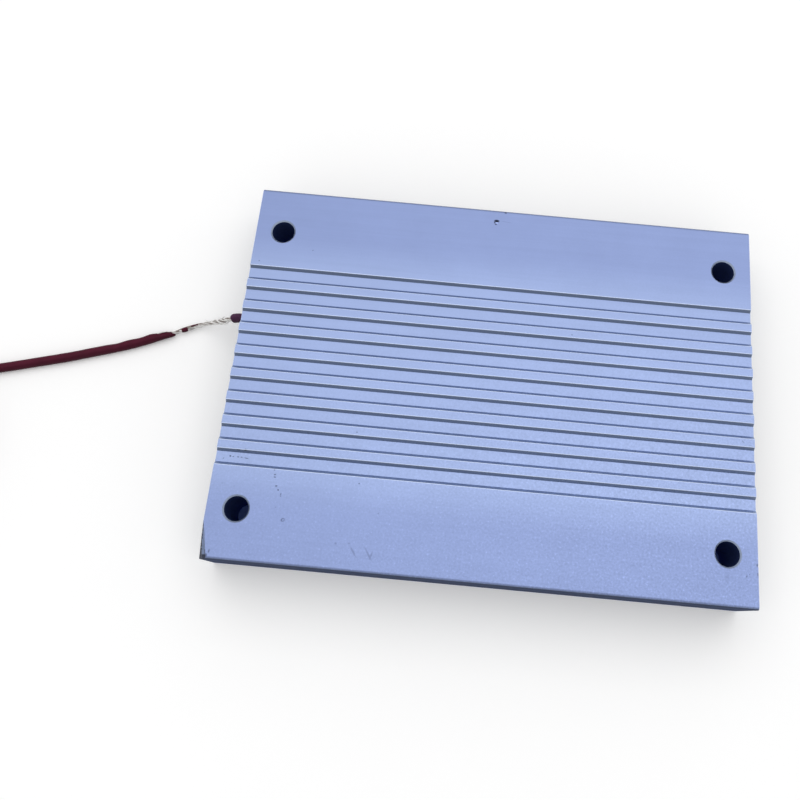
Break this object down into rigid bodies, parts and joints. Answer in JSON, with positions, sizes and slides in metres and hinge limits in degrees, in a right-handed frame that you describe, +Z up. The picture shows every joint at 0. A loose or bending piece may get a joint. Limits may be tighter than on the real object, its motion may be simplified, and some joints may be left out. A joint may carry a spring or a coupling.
{
  "type": "braking resistor",
  "caption": "Flat braking resistor: a grooved aluminium profile with corner fixing holes, sealed ends, a wound mica element inside, and a worn red lead coiled at its end.",
  "frame": {"origin": "centre of the flat base, under the middle of the profile", "axes": "+X along the profile away from the lead's end, +Y across it, +Z up through the grooved face"},
  "size_m": [0.1976, 0.086, 0.015],
  "materials": {
    "anodised": "satin, clear anodised",
    "mica": "matt laminate",
    "ribbon": "drawn",
    "tinned": "tinned",
    "seal": "cast silicone, matt",
    "insulation": "satin silicone",
    "strands": "tinned strands, dull",
    "tie": "moulded"
  },
  "bodies": {
    "root": {"housing": "anodised", "upper_sheet": "mica", "lower_sheet": "mica", "back_card": "mica", "front_card": "mica", "back_winding": "ribbon", "front_winding": "ribbon", "centre_strip": "mica", "back_side_strip": "mica", "front_side_strip": "mica", "series_link": "tinned", "lead_lug": "tinned", "second_lug": "tinned", "left_seal": "seal", "right_seal": "seal", "lead_stub": "insulation", "bare_strands": "strands", "lead_run": "insulation", "lead_coil": "insulation", "lead_tail": "insulation", "coil_tie": "tie", "end_ferrule": "tinned"}
  },
  "joints": []
}
